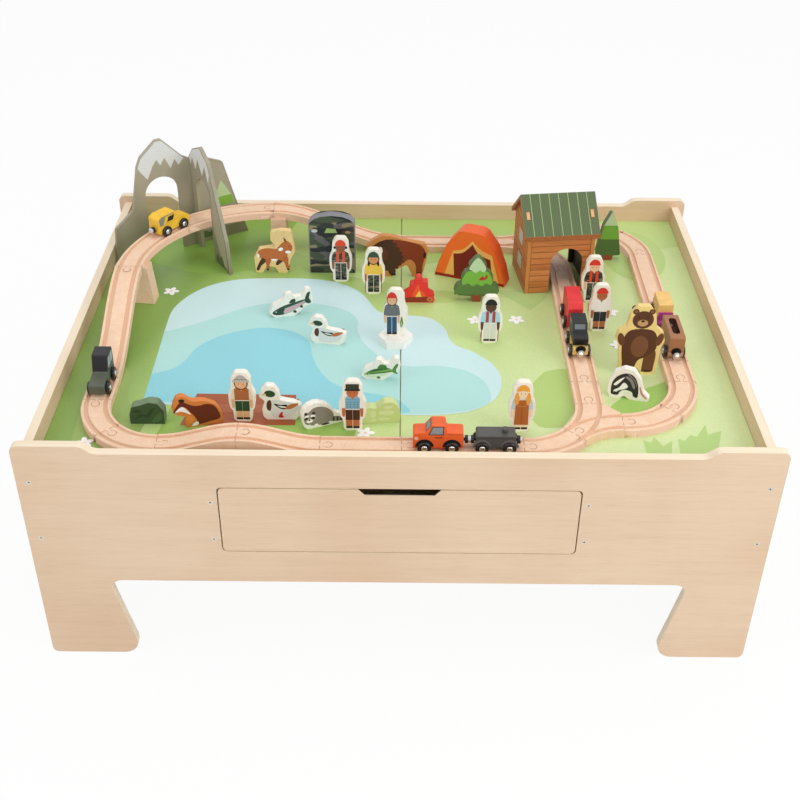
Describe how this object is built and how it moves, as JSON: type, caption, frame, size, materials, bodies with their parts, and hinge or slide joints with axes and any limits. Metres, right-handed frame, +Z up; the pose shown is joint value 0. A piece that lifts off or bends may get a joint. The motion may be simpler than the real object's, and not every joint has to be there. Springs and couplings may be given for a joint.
{
  "type": "train table",
  "caption": "Low wooden play table with a drawer, a printed play board, a wooden railway with rolling vehicles, and standing wooden scenery.",
  "frame": {"origin": "on the floor under the middle of the table", "axes": "+X to the right along the front, +Y to the back, +Z up"},
  "size_m": [1, 0.738, 0.5354],
  "materials": {
    "panel_wood": "clear-lacquered pale wood panel",
    "frame_wood": "plain sawn wood",
    "board_print": "printed and sealed play board",
    "steel": "zinc-plated steel",
    "beech": "smooth oiled beech",
    "orange_paint": "orange painted wood",
    "grey_paint": "dark grey painted wood",
    "loco_paint": "black and straw yellow painted wood",
    "red_paint": "red painted wood",
    "brown_paint": "brown stained wood",
    "magenta_paint": "magenta painted wood with a straw yellow crate",
    "olive_paint": "dark olive painted wood",
    "yellow_paint": "yellow painted wood",
    "wheel_plastic": "black moulded plastic with plated hub caps",
    "rock_print": "printed plywood",
    "plank_print": "printed plywood",
    "roof_print": "printed plywood",
    "shelter_print": "printed wood block",
    "foliage_paint": "printed wood block",
    "prop_paint": "printed wood block",
    "figure_print": "printed wood block with a cream margin",
    "animal_print": "printed wood block with a pale margin"
  },
  "bodies": {
    "root": {"front_panel": "panel_wood", "back_panel": "panel_wood", "left_side_panel": "panel_wood", "right_side_panel": "panel_wood", "play_board_left": "board_print", "play_board_right": "board_print", "board_ledges": "frame_wood", "centre_beam": "frame_wood", "drawer_guide_left": "frame_wood", "drawer_guide_right": "frame_wood", "drawer_runners": "frame_wood", "panel_screws": "steel", "panel_dowels": "frame_wood", "curved_tracks": "beech", "straight_tracks": "beech", "split_switch": "beech", "join_switch": "beech", "ramp_tracks": "beech", "arch_bridge": "beech", "track_risers": "beech", "mountain_boards": "rock_print", "cabin_walls": "plank_print", "cabin_roof": "roof_print", "shelters": "shelter_print", "trees": "foliage_paint", "ground_props": "prop_paint", "people_figures": "figure_print", "animal_figures": "animal_print"},
    "drawer": {"drawer_front": "panel_wood", "drawer_left_side": "frame_wood", "drawer_right_side": "frame_wood", "drawer_back": "frame_wood", "drawer_bottom": "frame_wood", "drawer_screws": "steel", "drawer_dowels": "frame_wood"},
    "pickup": {"pickup_body": "orange_paint"},
    "pickup_front_wheels": {"pickup_front_wheels": "wheel_plastic"},
    "pickup_rear_wheels": {"pickup_rear_wheels": "wheel_plastic"},
    "tender": {"tender_body": "grey_paint"},
    "tender_front_wheels": {"tender_front_wheels": "wheel_plastic"},
    "tender_rear_wheels": {"tender_rear_wheels": "wheel_plastic"},
    "loco": {"loco_body": "loco_paint"},
    "loco_front_wheels": {"loco_front_wheels": "wheel_plastic"},
    "loco_rear_wheels": {"loco_rear_wheels": "wheel_plastic"},
    "carriage": {"carriage_body": "red_paint"},
    "carriage_front_wheels": {"carriage_front_wheels": "wheel_plastic"},
    "carriage_rear_wheels": {"carriage_rear_wheels": "wheel_plastic"},
    "hopper": {"hopper_body": "brown_paint"},
    "hopper_front_wheels": {"hopper_front_wheels": "wheel_plastic"},
    "hopper_rear_wheels": {"hopper_rear_wheels": "wheel_plastic"},
    "flat_wagon": {"flat_wagon_body": "magenta_paint"},
    "flat_wagon_front_wheels": {"flat_wagon_front_wheels": "wheel_plastic"},
    "flat_wagon_rear_wheels": {"flat_wagon_rear_wheels": "wheel_plastic"},
    "green_car": {"green_car_body": "olive_paint"},
    "green_car_front_wheels": {"green_car_front_wheels": "wheel_plastic"},
    "green_car_rear_wheels": {"green_car_rear_wheels": "wheel_plastic"},
    "yellow_car": {"yellow_car_body": "yellow_paint"},
    "yellow_car_front_wheels": {"yellow_car_front_wheels": "wheel_plastic"},
    "yellow_car_rear_wheels": {"yellow_car_rear_wheels": "wheel_plastic"}
  },
  "joints": [
    {"name": "drawer_slide", "type": "slide", "parent": "root", "child": "drawer", "axis": [0, -1, 0], "range_m": [0, 0.3]},
    {"name": "pickup_run", "type": "slide", "parent": "root", "child": "pickup", "axis": [1, 0, 0], "range_m": [-0.115, 0.008]},
    {"name": "pickup_front_roll", "type": "hinge", "parent": "pickup", "child": "pickup_front_wheels", "pos_m": [0.03179, -0.323, 0.3537], "axis": [0, 1, 0], "continuous": true},
    {"name": "pickup_rear_roll", "type": "hinge", "parent": "pickup", "child": "pickup_rear_wheels", "pos_m": [0.06779, -0.323, 0.3537], "axis": [0, 1, 0], "continuous": true},
    {"name": "tender_run", "type": "slide", "parent": "root", "child": "tender", "axis": [1, 0, 0], "range_m": [-0.115, 0.008]},
    {"name": "tender_front_roll", "type": "hinge", "parent": "tender", "child": "tender_front_wheels", "pos_m": [0.10729, -0.323, 0.3537], "axis": [0, 1, 0], "continuous": true},
    {"name": "tender_rear_roll", "type": "hinge", "parent": "tender", "child": "tender_rear_wheels", "pos_m": [0.14329, -0.323, 0.3537], "axis": [0, 1, 0], "continuous": true},
    {"name": "loco_run", "type": "slide", "parent": "root", "child": "loco", "axis": [0, -1, 0], "range_m": [-0.12, 0.104]},
    {"name": "loco_front_roll", "type": "hinge", "parent": "loco", "child": "loco_front_wheels", "pos_m": [0.262, -0.09709, 0.3537], "axis": [1, 0, 0], "continuous": true},
    {"name": "loco_rear_roll", "type": "hinge", "parent": "loco", "child": "loco_rear_wheels", "pos_m": [0.262, -0.06109, 0.3537], "axis": [1, 0, 0], "continuous": true},
    {"name": "carriage_run", "type": "slide", "parent": "root", "child": "carriage", "axis": [0, -1, 0], "range_m": [-0.12, 0.104]},
    {"name": "carriage_front_roll", "type": "hinge", "parent": "carriage", "child": "carriage_front_wheels", "pos_m": [0.262, -0.01759, 0.3537], "axis": [1, 0, 0], "continuous": true},
    {"name": "carriage_rear_roll", "type": "hinge", "parent": "carriage", "child": "carriage_rear_wheels", "pos_m": [0.262, 0.01841, 0.3537], "axis": [1, 0, 0], "continuous": true},
    {"name": "hopper_run", "type": "slide", "parent": "root", "child": "hopper", "axis": [0, -1, 0], "range_m": [-0.158, 0.052]},
    {"name": "hopper_front_roll", "type": "hinge", "parent": "hopper", "child": "hopper_front_wheels", "pos_m": [0.40059, -0.09714, 0.3537], "axis": [1, 0, 0], "continuous": true},
    {"name": "hopper_rear_roll", "type": "hinge", "parent": "hopper", "child": "hopper_rear_wheels", "pos_m": [0.40059, -0.06114, 0.3537], "axis": [1, 0, 0], "continuous": true},
    {"name": "flat_wagon_run", "type": "slide", "parent": "root", "child": "flat_wagon", "axis": [0, -1, 0], "range_m": [-0.158, 0.052]},
    {"name": "flat_wagon_front_roll", "type": "hinge", "parent": "flat_wagon", "child": "flat_wagon_front_wheels", "pos_m": [0.40059, -0.01464, 0.3537], "axis": [1, 0, 0], "continuous": true},
    {"name": "flat_wagon_rear_roll", "type": "hinge", "parent": "flat_wagon", "child": "flat_wagon_rear_wheels", "pos_m": [0.40059, 0.02136, 0.3537], "axis": [1, 0, 0], "continuous": true},
    {"name": "green_car_run", "type": "slide", "parent": "root", "child": "green_car", "axis": [0, 1, 0], "range_m": [-0.015, 0.003]},
    {"name": "green_car_front_roll", "type": "hinge", "parent": "green_car", "child": "green_car_front_wheels", "pos_m": [-0.42, -0.20498, 0.3537], "axis": [-1, 0, 0], "continuous": true},
    {"name": "green_car_rear_roll", "type": "hinge", "parent": "green_car", "child": "green_car_rear_wheels", "pos_m": [-0.42, -0.16898, 0.3537], "axis": [-1, 0, 0], "continuous": true},
    {"name": "yellow_car_run", "type": "hinge", "parent": "root", "child": "yellow_car", "pos_m": [-0.214, 0.045, 0.4137], "axis": [0, 0, 1], "range_deg": [-37, 23]},
    {"name": "yellow_car_front_roll", "type": "hinge", "parent": "yellow_car", "child": "yellow_car_front_wheels", "pos_m": [-0.3647, 0.18558, 0.4137], "axis": [0.788, -0.6157, 0], "continuous": true},
    {"name": "yellow_car_rear_roll", "type": "hinge", "parent": "yellow_car", "child": "yellow_car_rear_wheels", "pos_m": [-0.38686, 0.15721, 0.4137], "axis": [0.788, -0.6157, 0], "continuous": true}
  ],
  "couplings": [
    {"joint": "pickup_front_roll", "follows": "pickup_run", "rad_per_m": 111.11},
    {"joint": "pickup_rear_roll", "follows": "pickup_run", "rad_per_m": 111.11},
    {"joint": "tender_run", "follows": "pickup_run", "ratio": 1},
    {"joint": "tender_front_roll", "follows": "pickup_run", "rad_per_m": 111.11},
    {"joint": "tender_rear_roll", "follows": "pickup_run", "rad_per_m": 111.11},
    {"joint": "loco_front_roll", "follows": "loco_run", "rad_per_m": 111.11},
    {"joint": "loco_rear_roll", "follows": "loco_run", "rad_per_m": 111.11},
    {"joint": "carriage_run", "follows": "loco_run", "ratio": 1},
    {"joint": "carriage_front_roll", "follows": "loco_run", "rad_per_m": 111.11},
    {"joint": "carriage_rear_roll", "follows": "loco_run", "rad_per_m": 111.11},
    {"joint": "hopper_front_roll", "follows": "hopper_run", "rad_per_m": 111.11},
    {"joint": "hopper_rear_roll", "follows": "hopper_run", "rad_per_m": 111.11},
    {"joint": "flat_wagon_run", "follows": "hopper_run", "ratio": 1},
    {"joint": "flat_wagon_front_roll", "follows": "hopper_run", "rad_per_m": 111.11},
    {"joint": "flat_wagon_rear_roll", "follows": "hopper_run", "rad_per_m": 111.11},
    {"joint": "green_car_front_roll", "follows": "green_car_run", "rad_per_m": 111.11},
    {"joint": "green_car_rear_roll", "follows": "green_car_run", "rad_per_m": 111.11},
    {"joint": "yellow_car_front_roll", "follows": "yellow_car_run", "ratio": 22.811},
    {"joint": "yellow_car_rear_roll", "follows": "yellow_car_run", "ratio": 22.811}
  ]
}
